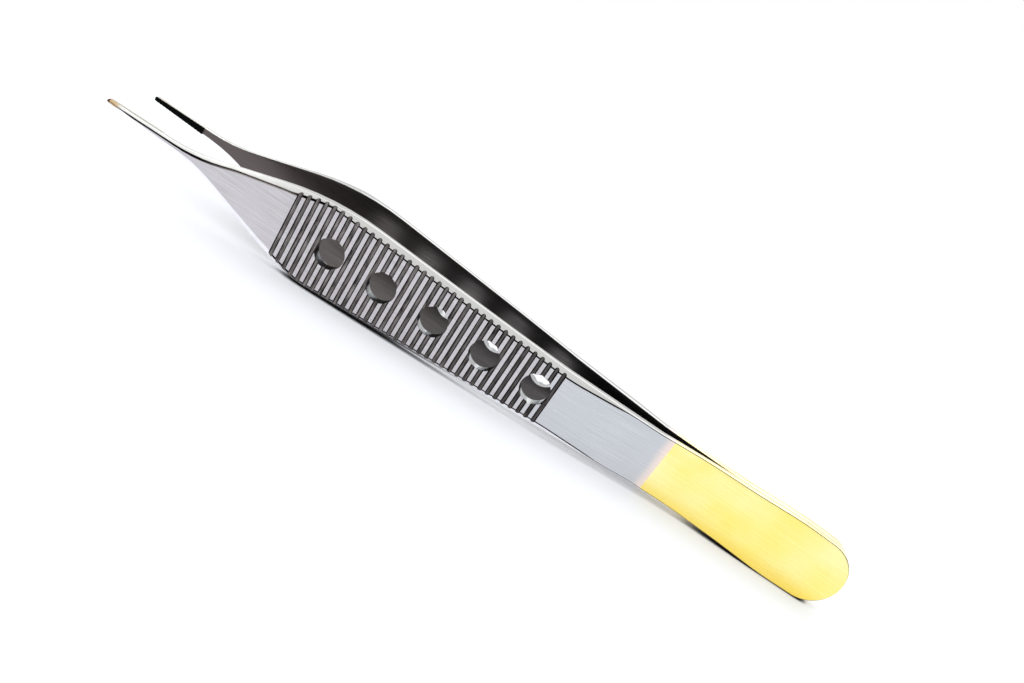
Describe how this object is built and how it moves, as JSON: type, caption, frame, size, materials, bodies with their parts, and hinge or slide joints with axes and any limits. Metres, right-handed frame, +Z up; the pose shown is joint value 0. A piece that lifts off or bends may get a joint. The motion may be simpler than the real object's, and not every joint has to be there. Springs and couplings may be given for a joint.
{
  "type": "thumb forceps",
  "caption": "Spring thumb forceps with slender tapered tips, hard jaw inserts, a grooved and pierced grip plate on each arm and a rounded plated heel.",
  "frame": {"origin": "under the middle of the forceps, on the surface that it stands on", "axes": "+X from the tips to the heel, +Y from the near arm to the far arm, +Z up across the width of the arms, as it stands on their lower edges"},
  "size_m": [0.12, 0.0128, 0.013],
  "materials": {
    "satin_steel": "stainless steel, satin brushed along the length, ground bright on the edges; the last 30 mm of each arm is plated pale gold",
    "jaw_carbide": "sintered tungsten carbide, dark grey, diamond cut on the gripping face"
  },
  "bodies": {
    "root": {"near_arm": "satin_steel", "far_arm": "satin_steel", "near_jaw_insert": "jaw_carbide", "far_jaw_insert": "jaw_carbide"}
  },
  "joints": []
}
